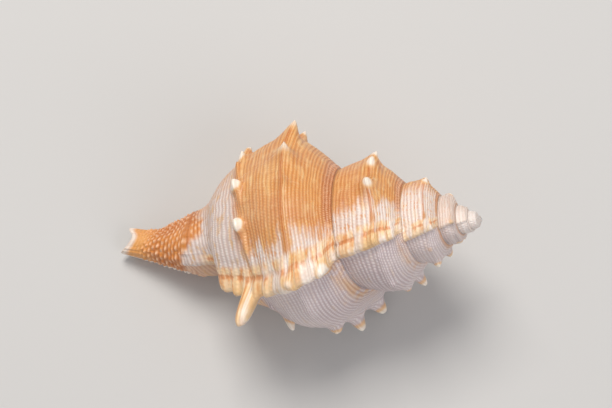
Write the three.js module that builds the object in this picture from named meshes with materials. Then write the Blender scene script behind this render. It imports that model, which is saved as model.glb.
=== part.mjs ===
// Frog shell (family Bursidae): one empty shell, right-handed coil, lying on its
// aperture. Units are millimetres, +Z is up, the floor is z = 0.
//
// The shell is one closed solid. Its outer skin follows the growth of the whorls
// turn by turn; the aperture opens into a hollow that winds back up the spire.
import * as THREE from 'three';

// ---------------------------------------------------------------- dimensions
const LENGTH = 70;             // along the coiling axis, apex to canal tip
const UNIT = LENGTH / 384;     // the growth tables below count in this unit
const WALL = 6.0;              // wall of the body whorl, in units (1.1 mm)
const CALLUS = 3.0;            // shell laid over the previous whorl, in units
const HOLLOW_TURNS = 2.3;      // how far the hollow goes back from the lip
const LIP_ROUND = 3.2;         // how far the lip stands out past its plane, units
const PHI_LIP = 144;           // direction of the lip round the axis, degrees
const SKIRT = 2.35;            // how far a spine's foot spreads, times its half width
const OVAL = 0.07;             // how much wider the whorls are across the varices
const COLUMNS = 34;            // even steps per turn on the body whorl

// growth tables, one value every half turn back from just past the lip
const KEEL_R = [104.2, 99.8, 92.9, 67, 62, 40.5, 36, 24.6, 18.8, 13.8, 11, 9, 7.2, 5.2];
const KEEL_Z = [-231, -191, -152.5, -106.8, -80.6, -55.2, -42.5, -30.4, -22.3, -16.2, -10.5, -6.3, -3.2, -1.5];
const SUTURE_R = [79, 74, 60, 58, 40.5, 36, 25.5, 20.5, 15.3, 11.3, 9.4, 8, 6.2, 4.4, 2.8];
const SUTURE_Z = [-243.9, -200, -140.5, -110.2, -74.6, -56.2, -39.5, -29.9, -23.3, -17.2, -12.3, -7.8, -4.4, -2.2, -1];
// base and canal, rows 5 to 10, one value every quarter turn of the last whorl
const BASE_R = [
  [50, 61, 64.5, 60, 68], [34, 38, 38.5, 33.5, 43], [20, 33, 39, 26.5, 32],
  [13, 28, 33, 21, 27], [9, 20, 23, 11, 15], [7, 14, 16.4, 11.5, 13]];
const BASE_Z = [
  [-172, -212.5, -248.9, -260, -277], [-211, -243, -265.5, -282, -297], [-253, -279, -294.5, -302.5, -311],
  [-295, -308, -314.5, -317, -324], [-337, -344, -347.5, -347.7, -349.5], [-377, -381, -382.5, -379.9, -376]];
const TENSION = [0, 0.15, 0.55, 0.15, 0.35, 0.1, 0, 0, 0, 0, 0];

// varices: turn at which each crosses the shoulder, the last one is the lip
const VARICES = [-0.02, -0.47, -0.953, -1.428, -1.91, -2.42, -2.895, -3.4, -3.89, -4.39];

// spines: [turn, row, height, half width back, half width forward,
//          half width along the profile, sideways lean in degrees, lean to apex]
const SPINES = [
    [-0.012, 2, 13, 10, 8, 10, 0, 0.3], [-0.03, 4, 20, 10, 8, 9, 8, -0.2], [-0.0662, 2, 13.5, 8, 8, 8, 0, 0.4],
    [-0.1019, 4, 11.5, 8, 6, 6, 0, 0.4], [-0.115, 4, 7, 10, 7, 7, 0, -0.2], [-0.1635, 2, 15.3, 13, 12, 10, 0, 0.61],
    [-0.1717, 4, 11.5, 12, 6, 6, 0, 0.2], [-0.2150, 4, 4, 10, 6, 6, 0, 0], [-0.2403, 2, 8.4, 11, 11, 10, 0, 0.42],
    [-0.2760, 4, 4, 14, 5, 7, 0, -0.1], [-0.3061, 2, 6.5, 7, 7, 7, 0, 0.65], [-0.3459, 2, 0.3, 6, 6, 6, 0, 0.11],
    [-0.3620, 4, 4, 16, 5, 7, 0, -0.1], [-0.4551, 2, 5, 9, 8, 9, 0, -0.09], [-0.4918, 4, 30, 11, 10, 11, -14, -0.12],
    [-0.5308, 2, 2, 9, 9, 9, 0, 0], [-0.560, 4, 4, 5, 5, 5, 0, 0], [-0.6294, 2, 8, 9, 9, 9, 0, 0.12],
    [-0.620, 4, 16, 7, 7, 7, 0, 0.35], [-0.6934, 2, 16, 9, 9, 9, 0, 0.45], [-0.675, 4, 10, 8, 8, 7, 0, 0],
    [-0.750, 2, 15, 9, 9, 9, 0, 0.5], [-0.76, 4, 8, 8, 8, 7, 0, -0.1], [-0.81, 2, 13, 9, 9, 9, 0, 0.4],
    [-0.85, 4, 7, 8, 8, 7, 0, -0.1], [-0.87, 2, 9, 8, 8, 8, 0, 0.3], [-0.92, 4, 5, 7, 7, 6, 0, -0.1],
    [-0.953, 2, 8, 9, 8, 9, 0, 0.2], [-1.03, 2, 7, 8, 8, 8, 0, 0.3], [-1.1, 2, 8, 8, 8, 8, 0, 0.3],
    [-1.1847, 2, 10.6, 8, 8, 8, 0, 0.74], [-1.2135, 2, 9.8, 8, 8, 8, 0, 0.21], [-1.2872, 2, 8.6, 7, 7, 7, 0, -0.06],
    [-1.3365, 2, 3.5, 6, 6, 6, 0, 0], [-1.4128, 2, 8.8, 8, 8, 8, 0, -0.16], [-1.4672, 2, 6.8, 7, 7, 7, 0, -0.01],
    [-1.5507, 2, 4.7, 7, 7, 7, 0, 0.34], [-1.6572, 2, 4, 7, 7, 7, 0, 0.25], [-1.7334, 2, 15, 7, 7, 7, 0, 0.51],
    [-1.82, 2, 9, 7, 7, 7, 0, 0.3], [-1.91, 2, 7, 7, 6, 7, 0, 0.3], [-2, 2, 6, 6, 6, 6, 0, 0.3],
    [-2.08, 2, 6, 6, 6, 6, 0, 0.3], [-2.181, 2, 6.8, 6, 6, 6, 0, 0.6], [-2.2945, 2, 6, 7, 6, 6, 0, 0],
    [-2.3502, 2, 4, 5, 5, 5, 0, 0], [-2.4, 2, 4, 6, 6, 6, 0, 0.2], [-2.4974, 2, 6, 6, 6, 6, 0, 0],
    [-2.599, 2, 6.6, 6, 6, 6, 0, 0.06], [-2.7469, 2, 8.9, 6, 6, 6, 0, 0.29], [-2.82, 2, 5, 5, 5, 5, 0, 0.3],
    [-2.895, 2, 5, 5, 5, 5, 0, 0.3], [-3, 2, 4, 5, 5, 5, 0, 0.3], [-3.09, 2, 4, 5, 5, 5, 0, 0.3],
    [-3.192, 2, 0.4, 5, 5, 5, 0, 0.3], [-3.2975, 2, 1.5, 5, 5, 5, 0, 0], [-3.39, 2, 2, 4, 4, 4, 0, 0.2],
    [-3.4882, 2, 2.5, 5, 5, 5, 0, 0], [-3.6202, 2, 3.4, 5, 5, 5, 0, -0.12], [-3.7537, 2, 6, 5, 5, 5, 0, -0.12],
    [-3.85, 2, 1, 4, 4, 4, 0, 0.3], [-3.97, 2, 1, 3, 3, 3, 0, 0.3], [-4.08, 2, 1, 3, 3, 3, 0, 0.3],
    [-4.1706, 2, 0.7, 3, 3, 3, 0, 0.33], [-4.2551, 2, 1, 3, 3, 3, 0, 0], [-4.6, 2, 0.6, 2.5, 2.5, 2.5, 0, 0.3],
    [-4.718, 2, 0.5, 4, 4, 4, 0, 0.33], [-4.85, 2, 0.5, 2.5, 2.5, 2.5, 0, 0.3],
];

// where the whole shell stands: the coiling frame in world directions, and its shift
const E1 = [-0.327881, -0.341794, 0.880721];
const E2 = [-0.119250, 0.939775, 0.320317];
const E3 = [0.937162, -0.000000, 0.348894];
const SHIFT = [33.161, -1.499, 25.670];

// ------------------------------------------------------------------- helpers
const sst = (x) => { x = Math.min(1, Math.max(0, x)); return x * x * (3 - 2 * x); };
const mix = (a, b, t) => a + (b - a) * t;
const rad = (d) => d * Math.PI / 180;

function table(start, step, v, x) {
  const f = (x - start) / step;
  const i = Math.min(v.length - 2, Math.max(0, Math.floor(f)));
  const t = f - i;
  const p1 = v[i], p2 = v[i + 1];
  const p0 = i > 0 ? v[i - 1] : 2 * v[0] - v[1];
  const n = v.length;
  const p3 = i + 2 < n ? v[i + 2] : 2 * v[n - 1] - v[n - 2];
  return 0.5 * (2 * p1 + (p2 - p0) * t + (2 * p0 - 5 * p1 + 4 * p2 - p3) * t * t
    + (3 * p1 - p0 - 3 * p2 + p3) * t * t * t);
}

const phiAt = (th) => rad(PHI_LIP + 360 * th);
const oval = (phi) => 1 + OVAL * Math.cos(2 * (phi - rad(PHI_LIP)));

function sutureAt(th) {
  const phi = phiAt(th), r = table(0.85, -0.5, SUTURE_R, th);
  const w = sst(th / 0.3);
  return [r * oval(phi), table(0.85, -0.5, SUTURE_Z, th) + (-0.06 * (1 - w) + 0.09 * w) * r * Math.cos(phi)];
}

function keelAt(th) {
  const phi = phiAt(th), r = table(0.35, -0.5, KEEL_R, th);
  return [r * oval(phi), table(0.35, -0.5, KEEL_Z, th) + 0.10 * r * Math.cos(phi)];
}

// the eleven points of the whorl's profile in the half plane at turn th
function controls(th) {
  const p0 = sutureAt(th), p2 = keelAt(th), p4 = sutureAt(th + 1);
  // bulges of the last whorl; the earliest whorls are rounder
  const g = (at, w) => Math.exp(-(((th - at) / w) ** 2));
  const round = sst((-2.7 - th) / 0.8);
  p2[0] = p2[0] * (1 - 0.06 * round) + 15 * g(-0.79, 0.09);
  p2[1] += 20 * g(-0.81, 0.10);
  p4[0] += 7 * g(-0.635, 0.06);
  const out = [p0,
    [0.5 * (p0[0] + p2[0]) + (0.02 + 0.12 * round) * p2[0] + 3.5 * g(-0.57, 0.07), 0.5 * (p0[1] + p2[1]) + 0.02 * p2[0]],
    p2,
    [0.5 * (p2[0] + p4[0]) + (0.035 + 0.06 * round) * p2[0] + 4 * g(-0.57, 0.07), 0.5 * (p2[1] + p4[1])],
    p4];
  const early = th < -1;
  const tb = Math.min(0, Math.max(-1, th));
  const s = early ? table(0.85, -0.5, SUTURE_R, th + 1) / table(0.85, -0.5, SUTURE_R, 0) : 1;
  const z4 = early ? sutureAt(0)[1] : 0;
  const squash = [0.8, 0.5, 0.2, 0, 0, 0];
  for (let k = 0; k < 6; k++) {
    const r = table(-1, 0.25, BASE_R[k], tb) * (1 + squash[k] * (oval(phiAt(th)) - 1));
    const z = table(-1, 0.25, BASE_Z[k], tb);
    out.push(early ? [r * s, p4[1] + (z - z4) * s] : [r, z]);
  }
  return out;
}

const cache = new Map();
function profile(th, u) {
  let c = cache.get(th);
  if (!c) { c = controls(th); cache.set(th, c); }
  const i = Math.min(9, Math.max(0, Math.floor(u))), t = u - i;
  const at = (j, k) => j < 0 ? 2 * c[0][k] - c[1][k] : j > 10 ? 2 * c[10][k] - c[9][k] : c[j][k];
  const t2 = t * t, t3 = t2 * t;
  return [0, 1].map((k) => {
    const m1 = 0.5 * (at(i + 1, k) - at(i - 1, k)) * (1 - TENSION[i]);
    const m2 = 0.5 * (at(i + 2, k) - at(i, k)) * (1 - TENSION[i + 1]);
    return (2 * t3 - 3 * t2 + 1) * at(i, k) + (t3 - 2 * t2 + t) * m1
      + (3 * t2 - 2 * t3) * at(i + 1, k) + (t3 - t2) * m2;
  });
}

function normal(th, u) {
  const a = profile(th, Math.min(10, u + 0.001)), b = profile(th, Math.max(0, u - 0.001));
  const dr = a[0] - b[0], dz = a[1] - b[1], l = Math.hypot(dr, dz) || 1;
  return [-dz / l, dr / l];
}

const lerpTable = (x, xs, ys) => {
  if (x <= xs[0]) return ys[0];
  for (let i = 1; i < xs.length; i++) if (x <= xs[i]) return mix(ys[i - 1], ys[i], (x - xs[i - 1]) / (xs[i] - xs[i - 1]));
  return ys[ys.length - 1];
};
const lean = (u) => lerpTable(u, [0, 0.35, 1, 2, 4, 5, 7, 10],
  [0.028, 0.022, 0.012, 0.008, -0.022, -0.03, -0.03, -0.03]);
const ridge = (u) => lerpTable(u, [0, 0.3, 1, 2, 3, 4, 5, 6, 7, 8, 9], [0, 0.7, 1, 1.1, 1, 1, 0.7, 0.3, 0.15, 0.05, 0]);

// height of the varices over the whorl at (th, u)
function varixAt(th, u) {
  let h = 0;
  for (const v of VARICES) {
    const d = th - (v + (v > -0.1 ? 0 : lean(u)));
    const x = d > 0 ? d / 0.03 : d / 0.013;
    if (Math.abs(x) < 4) h += 9 * table(0.35, -0.5, KEEL_R, v) / 98 * ridge(u) * Math.exp(-x * x);
  }
  return h;
}

// outer skin: whorl plus varices plus spines, as [radius, height, sideways]
function skin(th, u) {
  const p = profile(th, u), n = normal(th, u);
  const v = varixAt(th, u);
  let r = p[0] + v * (0.75 + 0.25 * n[0]), z = p[1] + v * 0.25 * n[1], side = 0;
  for (const [t0, u0, h, wb0, wf0, wu0, turnBy, apical] of SPINES) {
    if (Math.abs(th - t0) > 0.12 || Math.abs(u - u0) > 1.2) continue;
    const long = u0 === 4 && h > 18, k = long ? 1 : SKIRT;
    const wb = wb0 * k, wf = wf0 * k, wu = wu0 * k;
    const st = (th - t0) * 2 * Math.PI * profile(t0, u0)[0];
    const q = profile(th, u0);
    const su = Math.hypot(p[0] - q[0], p[1] - q[1]);
    const d2 = (st > 0 ? st / wf : st / wb) ** 2 + (su / wu) ** 2;
    if (d2 >= 1) continue;
    const cone = (1 - (Math.sqrt(d2 + 0.01) - 0.1) / (Math.sqrt(1.01) - 0.1)) ** 2.3;
    const f = long ? (1 - d2 ** 1.5) ** 1.3 : cone * (u0 === 4 ? 1 : sst(u / 0.5));
    r += h * f; z += h * f * apical; side += h * f * Math.tan(rad(turnBy));
  }
  // the new whorl laps over what the last one carries at the suture
  if (u < 0.6 && th > -6) {
    const k = 1 - sst(u / 0.6);
    const w = varixAt(th - 1, 4);
    const m = normal(th - 1, 4);
    r += k * w * (0.75 + 0.25 * m[0]); z += k * w * 0.25 * m[1];
  }
  return [r, z, side];
}

function place(th, r, z, side) {
  const phi = phiAt(th);
  let x = r * Math.cos(phi) - side * Math.sin(phi), y = r * Math.sin(phi) + side * Math.cos(phi);
  // the canal's end is notched on its back, with its margins drawn out
  const w = sst((-z - 340) / 42);
  const away = (d) => { const a = phi - rad(d); return Math.atan2(Math.sin(a), Math.cos(a)); };
  z += w * (11 * Math.exp(-((away(14) / rad(48)) ** 2)) - 0.5 * Math.exp(-((away(88) / rad(24)) ** 2))
    - 5 * Math.exp(-((away(-66) / rad(30)) ** 2)));
  const b = 6.5 * Math.max(0, (-z - 300) / 85) ** 2;   // the canal bends back a little
  x += b * Math.cos(rad(70)); y += b * Math.sin(rad(70));
  return [x, y, z];
}

// rows past 10 close the end of the canal as a shallow dish
function outer(th, u) {
  if (u <= 10) { const [r, z, s] = skin(th, u); return place(th, r, z, s); }
  const e = outer(th, 10), t = (u - 10) * 0.85;
  const c = [2.2, 6.1, -362];
  return [mix(e[0], c[0], t), mix(e[1], c[1], t), mix(e[2], c[2], t * t)];
}

// hollow: closed loop s in [0,1) at turn th, outer side first, then back up the columella
function hollow(th, s) {
  const size = Math.max(0.32, table(0.35, -0.5, KEEL_R, Math.min(0.1, th)) / 98);
  const wall = WALL * Math.min(1, size * 1.15), callus = CALLUS * Math.min(1, size * 1.15);
  const low = 9.8 - 2.9 * sst(-th / 0.2);
  const top = sutureAt(th), corner = [top[0] + 1 * size, top[1] - 12 * size];
  const outside = (a) => {
    const u = mix(0.5, low, a), p = profile(th, u), n = normal(th, u);
    return [p[0] - wall * n[0], p[1] - wall * n[1]];
  };
  const inside = (b) => {
    const u = mix(4.3, low, b), p = profile(th - 1, u), n = normal(th - 1, u);
    return [p[0] + callus * n[0], p[1] + callus * n[1]];
  };
  const o1 = outside(1), i1 = inside(1), end = [0.5 * (o1[0] + i1[0]), 0.5 * (o1[1] + i1[1])];
  const a = s <= 0.5 ? 2 * s : 2 * (1 - s);
  const q = s <= 0.5 ? outside(a) : inside(a);
  const k0 = sst(a / 0.12), k1 = sst((1 - a) / 0.06);
  let r = mix(corner[0], q[0], k0), z = mix(corner[1], q[1], k0);
  r = mix(end[0], r, k1); z = mix(end[1], z, k1);
  return place(th, r, z, 0);
}

// -------------------------------------------------------------- triangulation
const verts = [], tris = [];
const add = (p) => { verts.push(p); return verts.length - 1; };
const tri = (a, b, c) => { if (a !== b && b !== c && a !== c) tris.push(a, b, c); };

// strip between two lines of vertices, each entry [id, parameter]
function stitch(a, b, flip = false) {
  let i = 0, j = 0;
  while (i < a.length - 1 || j < b.length - 1) {
    const na = i < a.length - 1 ? a[i + 1][1] : Infinity;
    const nb = j < b.length - 1 ? b[j + 1][1] : Infinity;
    if (na + (i + 1 < a.length ? a[i][1] : 0) <= nb + (j + 1 < b.length ? b[j][1] : 0)) {
      if (flip) tri(a[i][0], b[j][0], a[i + 1][0]); else tri(a[i][0], a[i + 1][0], b[j][0]);
      i++;
    } else {
      if (flip) tri(a[i][0], b[j][0], b[j + 1][0]); else tri(a[i][0], b[j + 1][0], b[j][0]);
      j++;
    }
  }
}

const ROWS = [
  [0.35, 0.8, 1.2, 1.5, 1.68, 1.84, 2, 2.16, 2.33, 2.6, 3, 3.35, 3.67, 3.84, 4,
    4.18, 4.4, 4.8, 5.3, 6, 6.6, 7.2, 8, 8.7, 9.4, 10, 10.45, 11],
  [0.4, 0.9, 1.4, 1.75, 2, 2.25, 2.6, 3.3, 4],
  [0.45, 1.1, 1.6, 2, 2.4, 3.2, 4],
  [0.6, 1.4, 2, 2.7, 4],
  [1, 2, 3, 4],
  [1, 2, 4],
];
const STEPS = [COLUMNS, 30, 22, 16, 12, 9];

function columnsOf(k) {
  const lo = -k - 1, hi = -k, fixed = [hi];
  for (const [t0, u0, , wb, wf] of SPINES) {
    if (t0 <= lo + 0.004 || t0 > hi - 0.004) continue;
    const turn = 2 * Math.PI * profile(t0, u0)[0];
    fixed.push(t0);
    if (k < 2) fixed.push(t0 - 0.6 * wb / turn, t0 + 0.6 * wf / turn);
  }
  for (const v of VARICES) if (k < 3) for (const d of [-0.022, 0, 0.022]) fixed.push(v + d);
  const kept = [];
  const gap = [0.0075, 0.009, 0.013, 0.02, 0.03, 0.03][k];
  const take = (t) => { if (t > lo + gap * 0.6 && t <= hi && kept.every((q) => Math.abs(q - t) > gap)) kept.push(t); };
  fixed.forEach(take);
  for (let i = 1; i <= STEPS[k]; i++) take(lo + i / STEPS[k]);
  return kept.sort((p, q) => p - q);
}

const blocks = [];
const apex = add([0, 0, 0.6]);
for (let k = 5; k >= 0; k--) {
  const cols = columnsOf(k), rows = ROWS[k];
  const older = blocks[k + 1], oldest = k === 5;
  if (oldest) cols.unshift(-6);
  const id = cols.map((th) => rows.map((u) => add(outer(th, u))));
  for (let i = 0; i + 1 < cols.length; i++) {
    stitch(id[i].map((v, j) => [v, rows[j]]), id[i + 1].map((v, j) => [v, rows[j]]), false);
  }
  const firstRow = id.map((c, i) => [c[0], cols[i]]);
  const last = rows.indexOf(4);
  if (oldest) {
    stitch([[apex, cols[0]]], firstRow, true);
    blocks[k] = { id, cols, rows, first: true, bottom: id.map((c, i) => [c[last], cols[i] + 1]) };
    continue;
  }
  // suture: the older whorl's last row, one turn on
  const seam = older.seamStart === undefined ? older.bottom : [[older.seamStart, -k - 1], ...older.bottom];
  stitch(seam, firstRow, true);
  // first column against the older whorl's last column
  const oc = older.id[older.id.length - 1];
  const left = [[seam[0][0], 0], ...older.rows.map((u, j) => [oc[j], u]).filter((e) => e[1] <= 4)];
  const extra = [];
  if (k === 0) for (let j = last + 1; j < rows.length; j++) extra.push([add(outer(-1, rows[j])), rows[j]]);
  const right = id[0].map((v, j) => [v, rows[j]]);
  if (k === 0) stitch([...left, ...extra], right, false);
  else stitch(left, right, false);
  if (older.first) {
    const f = older.id[0];
    for (let j = 0; j + 1 < f.length; j++) tri(oc[0], f[j + 1], f[j]);
    tri(oc[0], f[0], apex);
  }
  blocks[k] = {
    id, cols, rows, extra, left,
    seamStart: oc[older.rows.indexOf(4)],
    bottom: id.map((c, i) => [c[last], cols[i] + 1]),
  };
}

// ------------------------------------------------------- lip, rim and hollow
const body = blocks[0], lastCol = body.id[body.id.length - 1];
const S0 = blocks[1].bottom[blocks[1].bottom.length - 1][0];
const outerLoop = [[S0, 0], ...lastCol.map((v, j) => [v, Math.min(0.5, 0.05 * body.rows[j])])];
for (let i = body.id.length - 2; i >= 0; i--) outerLoop.push([body.id[i][body.rows.length - 1], 0.5]);
for (const [v, u] of [...body.extra].reverse()) outerLoop.push([v, Math.max(0.5, 1 - (u - 4) / 12)]);
outerLoop.push([S0, 1]);

const LOOP = 22;
const edge = (s) => s <= 0.5 ? outer(0, 20 * s) : outer(-1, 4 + 12 * (1 - s));
const ahead = [-Math.sin(rad(PHI_LIP)), Math.cos(rad(PHI_LIP)), 0];
const close = (ids) => [...ids.map((v, j) => [v, j / LOOP]), [ids[0], 1]];
const params = Array.from({ length: LOOP }, (_, j) => j / LOOP);
const rim = close(params.map((s) => {
  const a = edge(s), b = hollow(0, s), k = LIP_ROUND * Math.sin(Math.PI * s) ** 0.5;
  return add([0, 1, 2].map((i) => mix(a[i], b[i], 0.5) + ahead[i] * k));
}));
stitch(outerLoop, rim);
const back = [0, -0.008, -0.02, -0.04, -0.07, -0.1, -0.135, -0.17, -0.21];
for (let t = -0.26; t > -HOLLOW_TURNS; t -= t > -1 ? 1 / 18 : 1 / 14) back.push(t);
let ring = rim;
for (const th of back) {
  const next = close(params.map((s) => add(hollow(th, s))));
  stitch(ring, next);
  ring = next;
}
const centre = [0, 1, 2].map((i) => ring.slice(0, LOOP).reduce((q, e) => q + verts[e[0]][i], 0) / LOOP);
stitch(ring, [[add(centre), 0]]);

// ------------------------------------------------------------------ placement
const position = new Float32Array(verts.length * 3);
verts.forEach((p, i) => {
  for (let k = 0; k < 3; k++) position[3 * i + k] = UNIT * (p[0] * E1[k] + p[1] * E2[k] + p[2] * E3[k]) + SHIFT[k];
});
let volume = 0;
for (let i = 0; i < tris.length; i += 3) {
  const [a, b, c] = [tris[i], tris[i + 1], tris[i + 2]].map((v) => new THREE.Vector3().fromArray(position, 3 * v));
  volume += a.dot(b.cross(c)) / 6;
}
if (volume < 0) for (let i = 0; i < tris.length; i += 3) [tris[i + 1], tris[i + 2]] = [tris[i + 2], tris[i + 1]];

const geometry = new THREE.BufferGeometry();
geometry.setAttribute('position', new THREE.BufferAttribute(position, 3));
geometry.setIndex(tris);
geometry.computeVertexNormals();

const shell = new THREE.Mesh(geometry, new THREE.MeshStandardMaterial({
  color: new THREE.Color(0.80, 0.60, 0.42), roughness: 0.48, metalness: 0,
}));
shell.name = 'shell';

const group = new THREE.Group();
group.name = 'frog_shell';
group.add(shell);
export default group;
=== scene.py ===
import math
import numpy as np
import bpy
from mathutils import Matrix, Vector


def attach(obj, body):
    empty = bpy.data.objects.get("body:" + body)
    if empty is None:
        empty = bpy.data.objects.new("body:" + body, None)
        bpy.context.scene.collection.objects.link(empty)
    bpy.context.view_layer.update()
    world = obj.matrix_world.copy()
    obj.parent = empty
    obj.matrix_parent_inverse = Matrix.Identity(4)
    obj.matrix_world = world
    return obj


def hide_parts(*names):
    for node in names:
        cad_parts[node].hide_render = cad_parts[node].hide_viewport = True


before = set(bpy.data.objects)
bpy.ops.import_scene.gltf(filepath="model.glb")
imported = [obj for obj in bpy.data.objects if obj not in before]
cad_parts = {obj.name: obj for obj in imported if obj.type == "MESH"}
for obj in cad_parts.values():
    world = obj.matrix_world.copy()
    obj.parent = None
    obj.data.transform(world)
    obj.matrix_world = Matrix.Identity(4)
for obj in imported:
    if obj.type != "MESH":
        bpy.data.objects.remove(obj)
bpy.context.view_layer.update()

# ---------------------------------------------------------------- dimensions
# The growth tables count in UNIT, 1/384 of the shell's axial length.
LENGTH = 0.070
UNIT = LENGTH / 384.0
WALL, CALLUS, HOLLOW_TURNS, LIP_ROUND = 6.0, 3.0, 2.3, 3.2
PHI_LIP, OVAL = 144.0, 0.07

KEEL_R = [104.2, 99.8, 92.9, 67, 62, 40.5, 36, 24.6, 18.8, 13.8, 11, 9, 7.2, 5.2]
KEEL_Z = [-231, -191, -152.5, -106.8, -80.6, -55.2, -42.5, -30.4, -22.3, -16.2, -10.5, -6.3, -3.2, -1.5]
SUTURE_R = [79, 74, 60, 58, 40.5, 36, 25.5, 20.5, 15.3, 11.3, 9.4, 8, 6.2, 4.4, 2.8]
SUTURE_Z = [-243.9, -200, -140.5, -110.2, -74.6, -56.2, -39.5, -29.9, -23.3, -17.2, -12.3, -7.8, -4.4, -2.2, -1]
BASE_R = [
    [50, 61, 64.5, 60, 68], [34, 38, 38.5, 33.5, 43], [20, 33, 39, 26.5, 32],
    [13, 28, 33, 21, 27], [9, 20, 23, 11, 15], [7, 14, 16.4, 11.5, 13]]
BASE_Z = [
    [-172, -212.5, -248.9, -260, -277], [-211, -243, -265.5, -282, -297], [-253, -279, -294.5, -302.5, -311],
    [-295, -308, -314.5, -317, -324], [-337, -344, -347.5, -347.7, -349.5], [-377, -381, -382.5, -379.9, -376]]
TENSION = np.array([0, 0.15, 0.55, 0.15, 0.35, 0.1, 0, 0, 0, 0, 0])
VARICES = [-0.02, -0.47, -0.953, -1.428, -1.91, -2.42, -2.895, -3.4, -3.89, -4.39]

# spines: turn, row, height, half width back, forward, along the profile,
# sideways lean in degrees, lean to the apex
SPINES = [
    (-0.012, 2, 13, 10, 8, 10, 0, 0.3), (-0.03, 4, 20, 10, 8, 9, 8, -0.2), (-0.0662, 2, 13.5, 8, 8, 8, 0, 0.4),
    (-0.1019, 4, 11.5, 8, 6, 6, 0, 0.4), (-0.115, 4, 7, 10, 7, 7, 0, -0.2), (-0.1635, 2, 15.3, 13, 12, 10, 0, 0.61),
    (-0.1717, 4, 11.5, 12, 6, 6, 0, 0.2), (-0.2150, 4, 4, 10, 6, 6, 0, 0), (-0.2403, 2, 11, 12, 12, 11, 0, 0.42),
    (-0.2830, 4, 8, 11, 7, 10, 0, -0.05), (-0.3061, 2, 3.5, 6, 6, 6, 0, 0.65), (-0.3459, 2, 0.3, 6, 6, 6, 0, 0.11),
    (-0.3700, 4, 8, 11, 7, 10, 0, -0.05), (-0.4551, 2, 7.5, 9, 8, 9, 0, -0.09), (-0.456, 0.7, 12, 9, 9, 9, 0, 0.2), (-0.4918, 4, 37, 8.5, 7.5, 8, -14, -0.12),
    (-0.5308, 2, 2, 9, 9, 9, 0, 0), (-0.560, 4, 4, 5, 5, 5, 0, 0), (-0.6294, 2, 8, 9, 9, 9, 0, 0.12),
    (-0.620, 4, 16, 7, 7, 7, 0, 0.35), (-0.6934, 2, 16, 9, 9, 9, 0, 0.45), (-0.675, 4, 10, 8, 8, 7, 0, 0),
    (-0.750, 2, 15, 9, 9, 9, 0, 0.5), (-0.76, 4, 8, 8, 8, 7, 0, -0.1), (-0.81, 2, 13, 9, 9, 9, 0, 0.4),
    (-0.85, 4, 7, 8, 8, 7, 0, -0.1), (-0.87, 2, 9, 8, 8, 8, 0, 0.3), (-0.92, 4, 5, 7, 7, 6, 0, -0.1),
    (-0.953, 2, 8, 9, 8, 9, 0, 0.2), (-1.03, 2, 7, 8, 8, 8, 0, 0.3), (-1.1, 2, 8, 8, 8, 8, 0, 0.3),
    (-1.1847, 2, 10.6, 8, 8, 8, 0, 0.74), (-1.2135, 2, 9.8, 8, 8, 8, 0, 0.21), (-1.2872, 2, 12.5, 10, 10, 9, 0, -0.06),
    (-1.3365, 2, 0.8, 6, 6, 6, 0, 0), (-1.4128, 2, 3, 8, 8, 8, 0, -0.16), (-1.4672, 2, 1.2, 7, 7, 7, 0, -0.01),
    (-1.5507, 2, 2.5, 7, 7, 7, 0, 0.34), (-1.6572, 2, 4, 7, 7, 7, 0, 0.25), (-1.7334, 2, 15, 7, 7, 7, 0, 0.51),
    (-1.82, 2, 9, 7, 7, 7, 0, 0.3), (-1.91, 2, 7, 7, 6, 7, 0, 0.3), (-2, 2, 6, 6, 6, 6, 0, 0.3),
    (-2.08, 2, 6, 6, 6, 6, 0, 0.3), (-2.181, 2, 6.8, 6, 6, 6, 0, 0.6), (-2.2945, 2, 1.0, 7, 6, 6, 0, 0),
    (-2.3502, 2, 0.8, 5, 5, 5, 0, 0), (-2.4, 2, 2, 6, 6, 6, 0, 0.2), (-2.4974, 2, 2, 6, 6, 6, 0, 0),
    (-2.599, 2, 6.6, 6, 6, 6, 0, 0.06), (-2.7469, 2, 8.9, 6, 6, 6, 0, 0.29), (-2.82, 2, 5, 5, 5, 5, 0, 0.3),
    (-2.895, 2, 5, 5, 5, 5, 0, 0.3), (-3, 2, 4, 5, 5, 5, 0, 0.3), (-3.09, 2, 4, 5, 5, 5, 0, 0.3),
    (-3.192, 2, 0.4, 5, 5, 5, 0, 0.3), (-3.2975, 2, 1.5, 5, 5, 5, 0, 0), (-3.39, 2, 2, 4, 4, 4, 0, 0.2),
    (-3.4882, 2, 1, 5, 5, 5, 0, 0), (-3.6202, 2, 3.4, 5, 5, 5, 0, -0.12), (-3.7537, 2, 6, 5, 5, 5, 0, -0.12),
    (-3.85, 2, 1, 4, 4, 4, 0, 0.3), (-3.97, 2, 1, 3, 3, 3, 0, 0.3), (-4.08, 2, 1, 3, 3, 3, 0, 0.3),
    (-4.1706, 2, 0.7, 3, 3, 3, 0, 0.33), (-4.2551, 2, 1, 3, 3, 3, 0, 0), (-4.6, 2, 0.6, 2.5, 2.5, 2.5, 0, 0.3),
    (-4.718, 2, 0.5, 4, 4, 4, 0, 0.33), (-4.85, 2, 0.5, 2.5, 2.5, 2.5, 0, 0.3),
]
E1 = (-0.327881, -0.341794, 0.880721)
E2 = (-0.119250, 0.939775, 0.320317)
E3 = (0.937162, -0.000000, 0.348894)
SHIFT = (33.161, -1.499, 25.670)

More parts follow.
